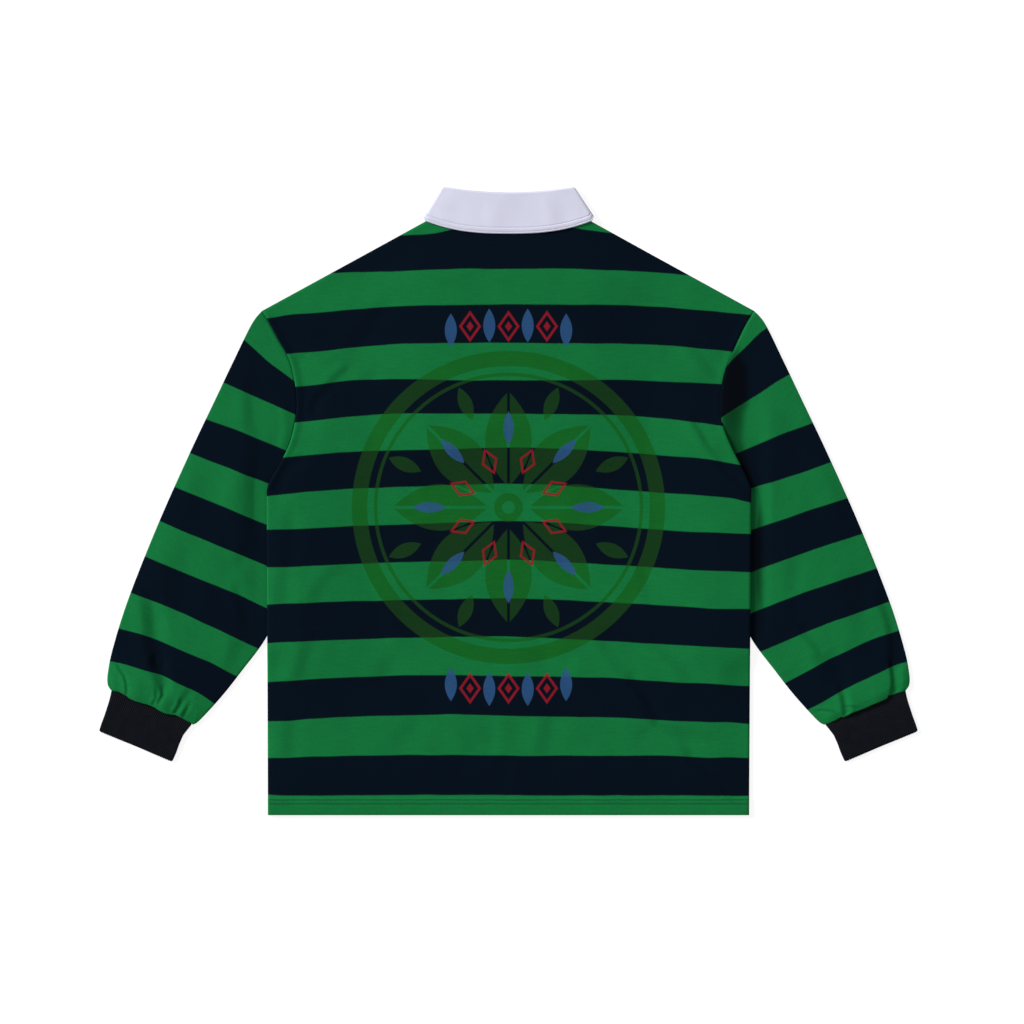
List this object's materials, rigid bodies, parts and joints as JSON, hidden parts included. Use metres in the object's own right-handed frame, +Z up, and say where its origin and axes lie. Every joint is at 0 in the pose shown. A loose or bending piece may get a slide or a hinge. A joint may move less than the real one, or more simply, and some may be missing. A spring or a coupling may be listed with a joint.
{
  "type": "long-sleeved polo shirt",
  "caption": "Striped long-sleeved polo shirt of the rugby kind with a white collar and ribbed cuffs, laid flat face down.",
  "frame": {"origin": "on the surface that the shirt lies on, under the middle of its bounding box", "axes": "+Z up from the surface, +Y from the hem to the collar, +X to the right seen from above, the back of the shirt upwards"},
  "size_m": [1.0212, 0.785, 0.0088],
  "materials": {
    "jersey": "soft cotton jersey in green and navy hoops",
    "twill": "smooth off-white cotton twill",
    "rib": "black ribbed knit",
    "rubber": "satin white"
  },
  "bodies": {
    "root": {"front": "jersey", "back": "jersey", "sleeve_left": "jersey", "sleeve_right": "jersey", "cuff_left": "rib", "cuff_right": "rib", "collar": "twill", "placket": "jersey", "button_upper": "rubber", "button_lower": "rubber"}
  },
  "joints": []
}
